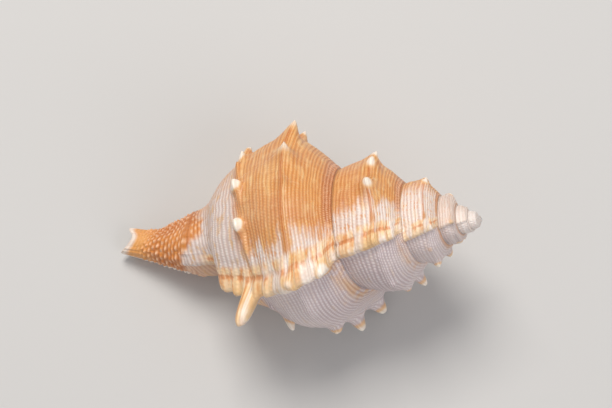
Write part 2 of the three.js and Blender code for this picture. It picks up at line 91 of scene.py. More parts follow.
# ridges on the whorl: a line of (turn, row, height) points, and a half width
RIDGES = [
    ([(-0.366, 4.0, 4.0), (-0.385, 3.95, 5.0), (-0.42, 3.85, 4.5), (-0.455, 3.7, 1.5)], 5.0),
    ([(-0.280, 4.0, 4.0), (-0.292, 3.97, 4.5), (-0.312, 3.9, 3.5), (-0.337, 3.8, 0.5)], 5.5),
    ([(-0.215, 4.0, 4.0), (-0.235, 4.0, 3.0), (-0.256, 3.95, 1.0)], 4.5),
    ([(-0.240, 2.0, 2.5), (-0.27, 2.02, 1.6), (-0.30, 2.03, 1.2), (-0.33, 2.03, 0.9), (-0.42, 2.03, 0.7)], 5.0),
    ([(-0.460, 2.0, 1.5), (-0.468, 2.6, 2.0), (-0.480, 3.3, 4.0), (-0.490, 3.8, 4.0), (-0.492, 4.0, 1.5)], 8.0),
    ([(-0.492, 4.0, 1.5), (-0.495, 4.25, 6.0), (-0.497, 4.4, 7.5), (-0.500, 4.9, 3.0), (-0.500, 5.3, 0.0)], 8.0),
    ([(-0.02, 4.0, 2.0), (-0.02, 4.6, 2.5), (-0.02, 5.3, 2.0), (-0.02, 6.2, 1.0)], 7.0),
    ([(-0.02, 2.0, 1.5), (-0.02, 3.0, 1.0), (-0.02, 4.0, 2.0)], 7.0),
]


# ------------------------------------------------------------------- helpers
def sst(x):
    x = np.clip(x, 0.0, 1.0)
    return x * x * (3 - 2 * x)


def table(start, step, vals, x):
    f = (np.asarray(x, float) - start) / step
    i = np.clip(np.floor(f).astype(int), 0, len(vals) - 2)
    t = f - i
    v = np.asarray(vals, float)
    p = np.concatenate([[2 * v[0] - v[1]], v, [2 * v[-1] - v[-2]]])
    p0, p1, p2, p3 = p[i], p[i + 1], p[i + 2], p[i + 3]
    return 0.5 * (2 * p1 + (p2 - p0) * t + (2 * p0 - 5 * p1 + 4 * p2 - p3) * t * t
                  + (3 * p1 - p0 - 3 * p2 + p3) * t ** 3)


def phi_at(th):
    return np.radians(PHI_LIP + 360.0 * np.asarray(th, float))


def oval(phi):
    return 1 + OVAL * np.cos(2 * (phi - math.radians(PHI_LIP)))


def suture_at(th):
    phi = phi_at(th)
    r = table(0.85, -0.5, SUTURE_R, th)
    w = sst(np.asarray(th, float) / 0.3)
    return r * oval(phi), table(0.85, -0.5, SUTURE_Z, th) + (-0.06 * (1 - w) + 0.09 * w) * r * np.cos(phi)


def keel_at(th):
    phi = phi_at(th)
    r = table(0.35, -0.5, KEEL_R, th)
    return r * oval(phi), table(0.35, -0.5, KEEL_Z, th) + 0.10 * r * np.cos(phi)


def controls(th):
    """(n, 11) radii and heights of the profile points at each turn."""
    th = np.asarray(th, float)
    R = np.zeros(th.shape + (11,))
    Z = np.zeros_like(R)
    r0, z0 = suture_at(th)
    r2, z2 = keel_at(th)
    r4, z4 = suture_at(th + 1)
    R[..., 0], Z[..., 0], R[..., 2], Z[..., 2], R[..., 4], Z[..., 4] = r0, z0, r2, z2, r4, z4
    g = lambda at, w: np.exp(-((th - at) / w) ** 2)
    r2 = r2 * (1 - 0.06 * sst((-2.7 - th) / 0.8)) + 15 * g(-0.79, 0.09)
    z2 = z2 + 20 * g(-0.81, 0.10)
    r4 = r4 + 7 * g(-0.635, 0.06)
    R[..., 2], Z[..., 2], R[..., 4] = r2, z2, r4
    early = sst((-2.7 - th) / 0.8)
    R[..., 1] = 0.5 * (r0 + r2) + (0.02 + 0.12 * early) * r2 + 3.5 * g(-0.57, 0.07)
    Z[..., 1] = 0.5 * (z0 + z2) + 0.02 * r2
    R[..., 3] = 0.5 * (r2 + r4) + (0.035 + 0.06 * early) * r2 + 4 * g(-0.57, 0.07)
    Z[..., 3] = 0.5 * (z2 + z4)
    tb = np.clip(th, -1, 0)
    s = np.where(th < -1, table(0.85, -0.5, SUTURE_R, th + 1) / table(0.85, -0.5, SUTURE_R, 0.0), 1.0)
    zs = float(suture_at(0.0)[1])
    squash = [0.8, 0.5, 0.2, 0, 0, 0]
    for k in range(6):
        r = table(-1, 0.25, BASE_R[k], tb) * (1 + squash[k] * (oval(phi_at(th)) - 1))
        z = table(-1, 0.25, BASE_Z[k], tb)
        R[..., 5 + k] = r * s
        Z[..., 5 + k] = np.where(th < -1, z4 + (z - zs) * s, z)
    return R, Z


def profile(th, u):
    """Radius and height at (turn, row), for arrays that broadcast together."""
    th, u = np.broadcast_arrays(np.asarray(th, float), np.asarray(u, float))
    if th.ndim == 2 and np.all(th == th[:, :1]):
        Rc, Zc = controls(th[:, 0])
        Rc, Zc = Rc[:, None, :], Zc[:, None, :]
    else:
        Rc, Zc = controls(th)
    i = np.clip(np.floor(u).astype(int), 0, 9)
    t = u - i
    out = []
    for A in (Rc, Zc):
        first = 2 * A[..., :1] - A[..., 1:2]
        last = 2 * A[..., 10:11] - A[..., 9:10]
        P = np.concatenate([first, A, last], -1)
        P = np.broadcast_to(P, u.shape + (13,))
        g = lambda j: np.take_along_axis(P, (i + j + 1)[..., None], -1)[..., 0]
        p0, p1, p2, p3 = g(-1), g(0), g(1), g(2)
        m1 = 0.5 * (p2 - p0) * (1 - TENSION[i])
        m2 = 0.5 * (p3 - p1) * (1 - TENSION[i + 1])
        t2 = t * t
        t3 = t2 * t
        out.append((2 * t3 - 3 * t2 + 1) * p1 + (t3 - 2 * t2 + t) * m1
                   + (3 * t2 - 2 * t3) * p2 + (t3 - t2) * m2)
    return out[0], out[1]


def normal(th, u):
    a = profile(th, np.minimum(10, u + 0.001))
    b = profile(th, np.maximum(0, u - 0.001))
    dr, dz = a[0] - b[0], a[1] - b[1]
    l = np.hypot(dr, dz) + 1e-12
    return -dz / l, dr / l


def keel_scale(th):
    return table(0.35, -0.5, KEEL_R, th) / 98.0


def lean(u):
    return np.interp(u, [0, 0.35, 1, 2, 4, 5, 7, 10],
                     [0.028, 0.022, 0.012, 0.008, -0.022, -0.03, -0.03, -0.03])


def ridge_height(u):
    return np.interp(u, [0, 0.3, 1, 2, 3, 4, 5, 6, 7, 8, 9], [0, 0.95, 1.25, 1.2, 1.05, 1, 0.7, 0.3, 0.15, 0.05, 0])


def varix_offset(th, u):
    """Signed distance in turns from the nearest varix crest, and that varix's size."""
    d = np.full(np.broadcast(th, u).shape, 9.0)
    size = np.zeros_like(d)
    for v in VARICES:
        x = th - (v + (0 if v > -0.1 else 1) * lean(u))
        m = np.abs(x) < np.abs(d)
        d = np.where(m, x, d)
        size = np.where(m, keel_scale(v), size)
    return d, size


def varix_at(th, u):
    h = np.zeros(np.broadcast(th, u).shape)
    for v in VARICES:
        d = th - (v + (0 if v > -0.1 else 1) * lean(u))
        x = np.where(d > 0, d / 0.03, d / 0.013)
        h = h + 9 * keel_scale(v) * ridge_height(u) * np.exp(-x * x)
    return h


SKIRT = 2.35     # how far a spine's foot spreads

# fine spiral cords: count from the suture down to the canal's end
CORD_U = [0, 2, 4, 5, 6, 7, 8, 9, 10]
CORD_N = [0, 18, 33, 42, 50, 57, 62, 70, 78]
PER_WHORL = [33, 24, 16, 10, 6, 4]


def cords(block, u):
    c = np.interp(u, CORD_U, CORD_N)
    return c * PER_WHORL[block] / 33.0 if block else c


def rows_of(block):
    """Rows of the mesh: four to each raised cord, with both ends and rows 2 and 4."""
    n = PER_WHORL[block]
    top = list(np.linspace(0, 4, 2 * n + 1)[1:]) if block else None
    if block:
        c = np.linspace(0, n, 2 * n + 1)[1:]
        u = list(np.interp(c * 33.0 / n, CORD_N, CORD_U))
        u = [x for x in u if abs(x - 2) > 0.02 and x < 3.98] + [2.0, 4.0]
        return sorted(u)
    c1 = np.arange(0.5, 57, 0.5)
    c2 = np.arange(57, 77.9, 0.26)
    u = list(np.interp(np.concatenate([c1, c2]), CORD_N, CORD_U))
    u = [x for x in u if abs(x - 2) > 0.02 and abs(x - 4) > 0.02] + [2.0, 4.0, 10.0]
    return sorted(u) + [10.12, 10.28, 10.46, 10.66, 10.85, 11.0]


def hash_noise(x, seed, period=None):
    """Smooth 1-D noise in -1..1."""
    rng = np.random.default_rng(seed)
    tab = rng.uniform(-1, 1, 4096)
    i = np.floor(x).astype(int)
    t = sst(x - i)
    return tab[i % 4096] * (1 - t) + tab[(i + 1) % 4096] * t


def noise2(x, y, seed):
    rng = np.random.default_rng(seed)
    tab = rng.uniform(-1, 1, (256, 256))
    i, j = np.floor(x).astype(int), np.floor(y).astype(int)
    a, b = sst(x - i), sst(y - j)
    g = lambda p, q: tab[p % 256, q % 256]
    return ((g(i, j) * (1 - a) + g(i + 1, j) * a) * (1 - b)
            + (g(i, j + 1) * (1 - a) + g(i + 1, j + 1) * a) * b)


def callus_mask(th, u):
    """1 where the inner lip's smooth shell covers the base beside the aperture."""
    edge = 0.055 + 0.02 * np.sin(u * 1.7)
    return np.where(u > 4, 1 - sst((th + 1 - edge) / 0.03), 0) * (1 - sst((u - 8.2) / 0.8))


def skin(block, th, u):
    """Outer skin as radius, height, sideways, and the masks the finish uses."""
    r, z = profile(th, u)
    nr, nz = normal(th, u)
    th, u = np.broadcast_arrays(th, u)
    scale = keel_scale(th)
    v = varix_at(th, u)
    dr = v * (0.75 + 0.25 * nr)
    dz = v * 0.25 * nz
    side = -0.42 * v * np.where(th > -0.1, 0.2, 1.0)
    tip = np.zeros_like(dr)
    for t0, u0, h, wb, wf, wu, turn_by, apical in SPINES:
        r0 = float(profile(np.array([t0]), np.array([float(u0)]))[0][0])
        long = u0 == 4 and h > 18
        k = 1.0 if u0 == 4 and -0.45 < t0 < -0.25 else SKIRT
        wb, wf, wu = wb * k, wf * k, wu * k
        reach = 1.02 * max(wb, wf) / (2 * math.pi * r0)
        cols = np.nonzero(np.abs(th[:, 0] - t0) < reach)[0]
        rows = np.nonzero(np.abs(u[0] - u0) < 1.2)[0]
        if not len(cols) or not len(rows):
            continue
        g = np.ix_(cols, rows)
        st = (th[g] - t0) * 2 * math.pi * r0
        q = profile(th[g][:, :1], np.array([[float(u0)]]))
        su = np.hypot(r[g] - q[0], z[g] - q[1])
        d2 = np.where(st > 0, st / wf, st / wb) ** 2 + (su / wu) ** 2
        d2 = np.minimum(d2, 1)
        if long:
            core = np.minimum(1, d2 * SKIRT ** 2)
            f = 0.70 * (1 - core ** 2.8) ** 0.85 + 0.30 * (1 - np.sqrt(d2)) ** 1.8
            dr[g] += 0.8 * (1 - core ** 2.8) ** 0.85 * (q[0] - r[g])
        elif u0 == 4 and -0.45 < t0 < -0.25:
            f = (1 - d2 ** 1.3) ** 1.2
        else:
            s = (np.sqrt(d2 + 0.01) - 0.1) / (math.sqrt(1.01) - 0.1)
            f = (1 - s) ** 2.3
            if t0 % 1.0 < 0.46:     # the lower side's knobs end blunt
                f = 0.42 * (1 - s) ** 2.0 + 0.58 * np.exp(-(s / 0.25) ** 3)
                dr[g] += 0.7 * np.exp(-(s / 0.25) ** 3) * (q[0] - r[g])
            if u0 != 4:
                f = f * sst(u[0][rows] / 0.5)[None, :]
        dr[g] += h * f
        dz[g] += h * f * apical
        side[g] += h * f * math.tan(math.radians(turn_by))
        k = float(sst((h / max(0.3, float(keel_scale(t0))) - 3.0) / 8.0))
        k = 0.42 if long else 0.68 if u0 == 2 and -0.25 < t0 < -0.15 else 1.0 if u0 == 4 and -0.45 < t0 < -0.25 else k
        tip[g] = np.maximum(tip[g], k * sst((f - (0.5 if long else 0.3 if k < 1 or u0 == 2 else 0.1)) / 0.7))
    for line, w in RIDGES:
        ts = [p[0] for p in line]
        lo, hi = min(ts) - 0.03, max(ts) + 0.03
        cols = np.nonzero((th[:, 0] > lo) & (th[:, 0] < hi))[0]
        rows = np.nonzero((u[0] > min(p[1] for p in line) - 0.7) & (u[0] < max(p[1] for p in line) + 0.7))[0]
        if not len(cols) or not len(rows):
            continue
        g = np.ix_(cols, rows)
        best = np.zeros(th[g].shape)
        for (ta, ua, ha), (tb, ub, hb) in zip(line[:-1], line[1:]):
            ra, za = profile(np.array([ta]), np.array([ua]))
            rb, zb = profile(np.array([tb]), np.array([ub]))
            rm = 0.5 * (ra[0] + rb[0])
            x0, y0 = 0.0, 0.0
            x1, y1 = (tb - ta) * 2 * math.pi * rm, (ub - ua) * 26.0
            px, py = (th[g] - ta) * 2 * math.pi * rm, (u[g] - ua) * 26.0
            L2 = x1 * x1 + y1 * y1
            t = np.clip((px * x1 + py * y1) / L2, 0, 1)
            d = np.hypot(px - t * x1, py - t * y1)
            best = np.maximum(best, (ha + (hb - ha) * t) * np.exp(-(d / w) ** 2 * 1.6))
        dr[g] += best * (0.6 + 0.4 * nr[g])
        dz[g] += best * 0.4 * nz[g]
    # raised cords, beads on the canal, growth lines
    c = cords(block, u)
    call = callus_mask(th, u)
    near_end = sst((th[:, :1] - th[:, :1].min()) / 0.03) * sst((th[:, :1].max() - th[:, :1]) / 0.02) if block else \
        sst((th + 1) / 0.03)
    canal = sst((c - 55) / 4) if block == 0 else np.zeros_like(c)
    fade = near_end * (1 - call) * sst(u / 0.12) * (1 - 0.6 * tip)
    fade = fade * (1 - sst((u - 9.3) / 0.5))
    amp = np.where((th > -0.47) | ((th < -0.953) & (th > -1.42)), 0.10, 0.20) * np.minimum(1, scale * 1.3)
    wave = np.cos(math.pi * c)
    strength = 0.8 + 0.35 * hash_noise(np.round(c / 2), 11)
    body = amp * wave * strength * (1 - canal)
    bead_n = 21
    cs = c * 0.8 + 1.1 * 2 * math.pi * th * canal
    row = np.round(cs)
    bead = 0.5 + 0.5 * np.cos(2 * math.pi * (th * bead_n + 0.37 * row + 0.25 * hash_noise(row, 5)))
    crest = 0.5 + 0.5 * np.cos(2 * math.pi * cs)
    size = 0.75 + 0.5 * noise2(th * 9 + 40, c * 0.5, 8)
    beads = 3.0 * size * (crest ** 0.8) * (0.18 + 0.82 * bead ** 1.3) - 0.7
    groove = amp * 0 + canal * beads * (1 - sst((c - 71) / 3.0) * 0.75)
    seamed = sst(1 - np.abs(c / PER_WHORL[block] - 0.035) / 0.05) if block < 5 else np.zeros_like(c)
    seam_bead = seamed * 0.45 * scale * (0.5 + 0.5 * np.cos(2 * math.pi * th * 62))
    keel_line = 0.5 * scale * np.exp(-((u - 2) / 0.055) ** 2)
    on = np.minimum(1, v / (7.0 * scale + 1e-6)) * (c < 52)
    cut = -1.6 * on * np.exp(-((varix_offset(th, u)[0] - 0.022) / 0.0045) ** 2) * sst((u - 0.2) / 0.3) if block < 2 else 0.0
    rib = cut + 2.0 * on * np.cos(2 * math.pi * (c / 4.2 + 0.35 * hash_noise(c / 5.0, 31))) * np.minimum(1, scale)
    growth = 0.2 * noise2(th * 150 + 0.3 * u, u * 1.1 + 5, 3) + 0.4 * noise2(th * 55 + 0.6 * u, u * 0.9, 4)
    growth = growth * np.minimum(1, scale * 1.2) * (1 - call)
    wob = 0.7 * noise2(th * 14 + 70, u * 1.3 + 9, 21) * scale
    h = (body + groove + seam_bead) * fade + keel_line * near_end + (growth + wob + rib * (1 - tip)) * near_end * sst(u / 0.15)
    h = h + call * 1.4
    # the new whorl laps over what the last one carries at the suture
    if block < 5:
        k = 1 - sst(u / 0.6)
        w = varix_at(th - 1, 4.0 + 0 * u)
        m_r, m_z = normal(th[:, :1] - 1, np.full((len(th), 1), 4.0))
        dr = dr + k * w * (0.75 + 0.25 * m_r)
        dz = dz + k * w * 0.25 * m_z
        side = side + k * -0.42 * w
    return r + dr + h * nr, z + dz + h * nz, side, dict(tip=tip, call=call, c=c, canal=canal, v=v, cs=cs)


def place(th, r, z, side):
    phi = phi_at(th)
    x = r * np.cos(phi) - side * np.sin(phi)
    y = r * np.sin(phi) + side * np.cos(phi)
    w = sst((-z - 340) / 42.0)
    a = lambda d: np.angle(np.exp(1j * (phi - math.radians(d))))
    z = z + w * (11 * np.exp(-(a(14) / math.radians(48)) ** 2) - 0.5 * np.exp(-(a(88) / math.radians(24)) ** 2)
                 - 5 * np.exp(-(a(-66) / math.radians(30)) ** 2))
    b = 6.5 * np.maximum(0, (-z - 300) / 85.0) ** 2
    return np.stack([x + b * math.cos(math.radians(70)), y + b * math.sin(math.radians(70)), z + 0 * x], -1)


def outer(block, th, u):
    """Points (n, m, 3) for columns th and rows u, and their masks."""
    th = np.asarray(th, float)[:, None]
    u = np.asarray(u, float)
    uu = np.minimum(u, 10)[None, :]
    r, z, s, info = skin(block, th, uu + 0 * th)
    P = place(th + 0 * r, r, z, s)
    if (u > 10).any():
        j = np.nonzero(u > 10)[0]
        t = ((u[j] - 10) * 0.85)[None, :, None]
        e = P[:, j]
        c = np.array([2.2, 6.1, -362.0])
        xy = e[..., :2] + (c[:2] - e[..., :2]) * t
        zz = e[..., 2:] + (c[2] - e[..., 2:]) * np.maximum(0, t * 1.15 - 0.15) ** 1.2 - 0.0
        P[:, j] = np.concatenate([xy, zz], -1)
    return P, info


def hollow(th, s, teeth=True):
    """Closed loops (n, m, 3) of the inside, at turns th and loop places s."""
    th = np.asarray(th, float)[:, None]
    s = np.asarray(s, float)[None, :]
    size = np.maximum(0.32, keel_scale(np.minimum(0.1, th)))
    k = np.minimum(1, size * 1.15)
    wall, callus = WALL * k, CALLUS * k
    low = 9.8 - 2.9 * sst(-th / 0.2)
    tr, tz = suture_at(th)
    corner = (tr + size, tz - 12 * size)
    a = np.where(s <= 0.5, 2 * s, 2 * (1 - s))

    def outside(a):
        u = 0.5 + (low - 0.5) * a
        p, n = profile(th + 0 * u, u), normal(th + 0 * u, u)
        w = wall
        if teeth:
            tooth = (0.5 + 0.5 * np.cos(2 * math.pi * a * 15.5)) ** 1.5 * sst((a - 0.1) / 0.08) * (1 - sst((a - 0.78) / 0.08))
            along = np.exp(-((th + 0.022) / 0.017) ** 2)
            w = w + 3.0 * tooth * along
        return p[0] - w * n[0], p[1] - w * n[1]

    def inside(a):
        u = 4.3 + (low - 4.3) * a
        p, n = profile(th - 1 + 0 * u, u), normal(th - 1 + 0 * u, u)
        w = callus
        if teeth:
            fold = (0.5 + 0.5 * np.cos(2 * math.pi * a * 13 + 3 * th)) ** 1.5 * sst((a - 0.12) / 0.1) * (1 - sst((a - 0.82) / 0.08))
            w = w + 1.1 * fold * (1 - sst((-th - 0.1) / 0.12))
        return p[0] + w * n[0], p[1] + w * n[1]

    near = 0.06 + 0 * th
    po, pi_ = outside(near), inside(near)
    corner = (0.5 * (po[0] + pi_[0]), 0.5 * (po[1] + pi_[1]))
    A = a + 0 * th
    o, i = outside(A), inside(A)
    o1, i1 = outside(np.ones_like(th)), inside(np.ones_like(th))
    end = (0.5 * (o1[0] + i1[0]), 0.5 * (o1[1] + i1[1]))
    q = [np.where(s <= 0.5, o[n], i[n]) for n in (0, 1)]
    k0, k1 = sst(A / 0.12), sst((1 - A) / 0.06)
    r = corner[0] + (q[0] - corner[0]) * k0
    z = corner[1] + (q[1] - corner[1]) * k0
    r = end[0] + (r - end[0]) * k1
    z = end[1] + (z - end[1]) * k1
    return place(th + 0 * r, r, z, 0 * r)


# ------------------------------------------------------------------ the mesh
verts, tris, attrs = [], [], []
count = 0
KEYS = ("turn", "cord", "row", "tip", "call", "canal", "varix", "inner", "since", "dors", "wlen", "vstr", "gran", "beadn", "cs", "rim")


def add(P, **kw):
    """Adds points and their attributes, returns their ids in P's shape."""
    global count
    P = np.asarray(P, float)
    n = int(np.prod(P.shape[:-1]))
    verts.append(P.reshape(-1, 3))
    row = np.zeros((n, len(KEYS)))
    for k, v in kw.items():
        row[:, KEYS.index(k)] = np.broadcast_to(v, P.shape[:-1]).reshape(-1)
    attrs.append(row)
    ids = np.arange(count, count + n).reshape(P.shape[:-1])
    count += n
    return ids


def tri(a, b, c):
    if a != b and b != c and a != c:
        tris.append((a, b, c))


def quads(A, B):
    """Strip between two equal columns, A then B in growth order."""
    for a0, a1, b0, b1 in zip(A[:-1], A[1:], B[:-1], B[1:]):
        tris.append((a0, a1, b1))
        tris.append((a0, b1, b0))


def stitch(A, B, flip=False):
    """Strip between two lines of (id, parameter)."""
    i = j = 0
    while i < len(A) - 1 or j < len(B) - 1:
        na = A[i + 1][1] + A[i][1] if i < len(A) - 1 else math.inf
        nb = B[j + 1][1] + B[j][1] if j < len(B) - 1 else math.inf
        if na <= nb:
            tri(A[i][0], B[j][0], A[i + 1][0]) if flip else tri(A[i][0], A[i + 1][0], B[j][0])
            i += 1
        else:
            tri(A[i][0], B[j][0], B[j + 1][0]) if flip else tri(A[i][0], B[j + 1][0], B[j][0])
            j += 1


COLS = [285, 215, 150, 100, 60, 36]
BEADS = [176, 128, 84, 56, 36, 24]


def growth_marks(k, T, U):
    """Where each point lies in its stretch of growth between two varices."""
    since = np.full(T.shape, 0.5)
    dors = np.zeros(T.shape)
    wlen = np.full(T.shape, 0.12)
    for n, v in enumerate(VARICES):
        line = v + (0 if v > -0.1 else 1) * lean(np.minimum(U, 10)) - 0.011
        m_ = T >= line
        nearer = m_ & (T - line < since)
        since = np.where(nearer, T - line, since)
        dors = np.where(nearer, 1.0 if n % 2 else 0.0, dors)
        wlen = np.where(nearer, [0.09, 0.09, 0.12, 0.13, 0.12, 0.3, 0.12, 0.6, 0.12, 0.6][n], wlen)
    gran = np.where(dors > 0.5, 0.4, 0.95) * np.ones(T.shape)
    vstr = np.where(T < -2.6, 0.6, 1.0)
    return dict(since=since, dors=dors, wlen=wlen, gran=gran, vstr=vstr, beadn=T * BEADS[k])



def columns_of(k):
    """Columns of a whorl, closer together at varices and spines."""
    lo, hi = -k - 1.0, -float(k)
    t = np.linspace(lo, hi, 4001)
    w = np.ones_like(t)
    for v in VARICES:
        for d in (0.015, -0.01):
            w += 1.3 * np.exp(-((t - v - d) / 0.016) ** 2)
    for s in SPINES:
        r0 = float(profile(np.array([s[0]]), np.array([float(s[1])]))[0][0])
        reach = max(s[3], s[4]) / (2 * math.pi * r0)
        w += min(2.2, 0.14 * s[2]) * np.exp(-((t - s[0]) / (0.8 * reach)) ** 2)
    if k == 0:
        w += 1.6 * np.exp(-((t - hi) / 0.012) ** 2)
    cum = np.concatenate([[0], np.cumsum(0.5 * (w[1:] + w[:-1]))])
    cum /= cum[-1]
    return list(np.interp(np.linspace(0, 1, COLS[k] + 1), cum, t)[1:])


blocks = {}
apex = int(add(np.array([[0, 0, 0.6]]), turn=-6.0)[0])
for k in range(5, -1, -1):
    cols, rows = columns_of(k), rows_of(k)
    if k == 5:
        cols = [-6.0] + cols
    P, info = outer(k, cols, rows)
    U = np.array(rows)[None, :] + 0 * P[..., 0]
    T = np.array(cols)[:, None] + 0 * U
    off, size = varix_offset(T, np.minimum(U, 10))
    ph = np.angle(np.exp(1j * (phi_at(T) + math.radians(76))))
    rim = sst((math.radians(17) - np.abs(ph)) / math.radians(10)) * sst((U - 7.2) / 1.0) if k == 0 else 0.0
    ids = add(P, rim=rim, turn=T, cord=info["c"], row=U, tip=info["tip"], call=info["call"],
              canal=info["canal"], cs=info["cs"], varix=off, **growth_marks(k, T, U))
    for i in range(len(cols) - 1):
        quads(ids[i], ids[i + 1])
    first_row = [(ids[i][0], cols[i]) for i in range(len(cols))]
    last = rows.index(4.0)
    b = dict(ids=ids, cols=cols, rows=rows, bottom=[(ids[i][last], cols[i] + 1) for i in range(len(cols))], start=None)
    blocks[k] = b
    if k == 5:
        stitch([(apex, cols[0])], first_row, True)
        continue
    older = blocks[k + 1]
    seam = ([(older["start"], -k - 1.0)] if older["start"] is not None else []) + older["bottom"]
    stitch(seam, first_row, True)
    oc = older["ids"][-1]
    ol = older["rows"].index(4.0)
    left = [(seam[0][0], 0.0)] + [(oc[j], older["rows"][j]) for j in range(ol + 1)]
    extra = []
    if k == 0:
        ru = [u for u in rows if u > 4]
        Pe, ie = outer(0, [-1.0], ru)
        e = add(Pe, turn=-1.0, cord=ie["c"], row=np.array(ru)[None, :], call=ie["call"], canal=ie["canal"], varix=9.0, **growth_marks(0, -1.0 + 0 * Pe[..., 0], np.array(ru)[None, :] + 0 * Pe[..., 0]))[0]
        extra = list(zip(e.tolist(), ru))
    right = [(ids[0][j], rows[j]) for j in range(len(rows))]
    stitch(left + extra, right)
    if k == 4:
        f = older["ids"][0]
        for j in range(len(f) - 1):
            tri(oc[0], f[j + 1], f[j])
        tri(oc[0], f[0], apex)
    b["start"] = oc[ol]
    b["extra"] = extra

body = blocks[0]
last_col = body["ids"][-1]
S0 = blocks[1]["bottom"][-1][0]
loop = [(S0, 0.0)] + [(last_col[j], min(0.5, 0.05 * body["rows"][j])) for j in range(len(body["rows"]))]
loop += [(body["ids"][i][-1], 0.5) for i in range(len(body["cols"]) - 2, -1, -1)]
loop += [(v, max(0.5, 1 - (u - 4) / 12.0)) for v, u in reversed(body["extra"])]
loop += [(S0, 1.0)]

LOOP = 150
S = np.arange(LOOP) / LOOP
closed = lambda ids: [(int(v), j / LOOP) for j, v in enumerate(ids)] + [(int(ids[0]), 1.0)]
eo = outer(0, [0.0], list(20 * S[S <= 0.5]))[0][0]
ei = outer(0, [-1.0], list(4 + 12 * (1 - S[S > 0.5])))[0][0]
edge = np.concatenate([eo, ei])
mouth = hollow([0.0], S)[0]
ahead = np.array([-math.sin(math.radians(PHI_LIP)), math.cos(math.radians(PHI_LIP)), 0])
ring = loop
push = (LIP_ROUND * np.sin(math.pi * S) ** 0.5)[:, None]
for t in (0.12, 0.3, 0.5, 0.7, 0.88):
    a = math.pi * t
    R = edge + (mouth - edge) * (0.5 - 0.5 * math.cos(a)) + ahead * push * math.sin(a) ** 0.8
    ids = add(R, turn=0.0, inner=0.25 + 0.6 * t, row=S * 20)
    nxt = closed(ids)
    stitch(ring, nxt)
    ring = nxt
back = [0.0, -0.004, -0.008, -0.012, -0.016, -0.02, -0.024, -0.028, -0.032, -0.037, -0.043, -0.05, -0.058, -0.067,
        -0.077, -0.088, -0.1, -0.113, -0.127, -0.142, -0.16, -0.18, -0.2]
t = -0.2
while t > -HOLLOW_TURNS:
    t -= 1 / 44.0
    back.append(t)
H = hollow(back, S)
ids = add(H, turn=np.array(back)[:, None] + 0 * S, inner=1.0, row=S[None, :] * 20 + 0 * np.array(back)[:, None])
for n in range(len(back)):
    nxt = closed(ids[n])
    if n == 0:
        stitch(ring, nxt)
    else:
        A = [v for v, _ in ring]
        quads(A, [v for v, _ in nxt])
    ring = nxt
mid = add(H[-1].mean(0)[None], turn=back[-1], inner=1.0)
stitch(ring, [(int(mid[0]), 0.0)])

V = np.concatenate(verts)
AT = np.concatenate(attrs)
E = np.array([E1, E2, E3])
W = (V @ E) * UNIT + np.array(SHIFT) * 0.001
W[:, 2] = np.maximum(W[:, 2], 0.0)      # worn flat where it rests
F = np.array(tris, int)
a, b_, c_ = W[F[:, 0]], W[F[:, 1]], W[F[:, 2]]
if np.einsum("ij,ij->i", a, np.cross(b_, c_)).sum() < 0:
    F = F[:, ::-1]

mesh = bpy.data.meshes.new("shell_skin")
mesh.from_pydata(W.tolist(), [], F.tolist())
mesh.polygons.foreach_set("use_smooth", np.ones(len(F), bool))
for n, key in enumerate(KEYS):
    at = mesh.attributes.new(key, "FLOAT", "POINT")
    at.data.foreach_set("value", AT[:, n].astype(np.float32))
mesh.update()
shell = bpy.data.objects.new("frog_shell_skin", mesh)
bpy.context.scene.collection.objects.link(shell)
print("shell mesh", len(W), "vertices", len(F), "triangles")

# ------------------------------------------------------------------- finish
def srgb(r, g, b):
    f = lambda c: (c / 12.92 if c <= 0.04045 else ((c + 0.055) / 1.055) ** 2.4)
    return (f(r / 255.0), f(g / 255.0), f(b / 255.0), 1.0)


mat = bpy.data.materials.new("shell_aragonite")
mat.use_nodes = True
nt = mat.node_tree
nt.nodes.clear()
out = nt.nodes.new("ShaderNodeOutputMaterial")
bsdf = nt.nodes.new("ShaderNodeBsdfPrincipled")
nt.links.new(bsdf.outputs[0], out.inputs[0])


def link(src, sock):
    if isinstance(src, (int, float)):
        sock.default_value = src
    elif isinstance(src, tuple):
        sock.default_value = src if len(src) == len(sock.default_value) else src[:len(sock.default_value)]
    else:
        nt.links.new(src, sock)


def attr(name):
    n = nt.nodes.new("ShaderNodeAttribute")
    n.attribute_name = name
    return n.outputs["Fac"]


def m(op, a, b=0.0, c=None, clamp=False):
    n = nt.nodes.new("ShaderNodeMath")
    n.operation = op
    n.use_clamp = clamp
    link(a, n.inputs[0])
    link(b, n.inputs[1])
    if c is not None:
        link(c, n.inputs[2])
    return n.outputs[0]


def step(x, lo, hi, a=0.0, b=1.0):
    n = nt.nodes.new("ShaderNodeMapRange")
    n.interpolation_type = "SMOOTHSTEP"
    link(x, n.inputs[0])
    for i, v in enumerate((lo, hi, a, b)):
        link(v, n.inputs[i + 1])
    return n.outputs[0]


def mix(fac, a, b, mode="MIX"):
    n = nt.nodes.new("ShaderNodeMix")
    n.data_type = "RGBA"
    n.blend_type = mode
    link(fac, n.inputs[0])
    link(a, n.inputs[6])
    link(b, n.inputs[7])
    return n.outputs[2]


def vec(x, y, z=0.0):
    n = nt.nodes.new("ShaderNodeCombineXYZ")
    for i, v in enumerate((x, y, z)):
        link(v, n.inputs[i])
    return n.outputs[0]


def noise(v, scale=1.0, detail=2.0, rough=0.5):
    n = nt.nodes.new("ShaderNodeTexNoise")
    n.inputs["Scale"].default_value = scale
    n.inputs["Detail"].default_value = detail
    n.inputs["Roughness"].default_value = rough
    nt.links.new(v, n.inputs["Vector"])
    return n.outputs["Fac"]


def wave(x):
    """0..1 cosine of x cycles."""
    return m("MULTIPLY_ADD", m("COSINE", m("MULTIPLY", x, 2 * math.pi)), 0.5, 0.5)


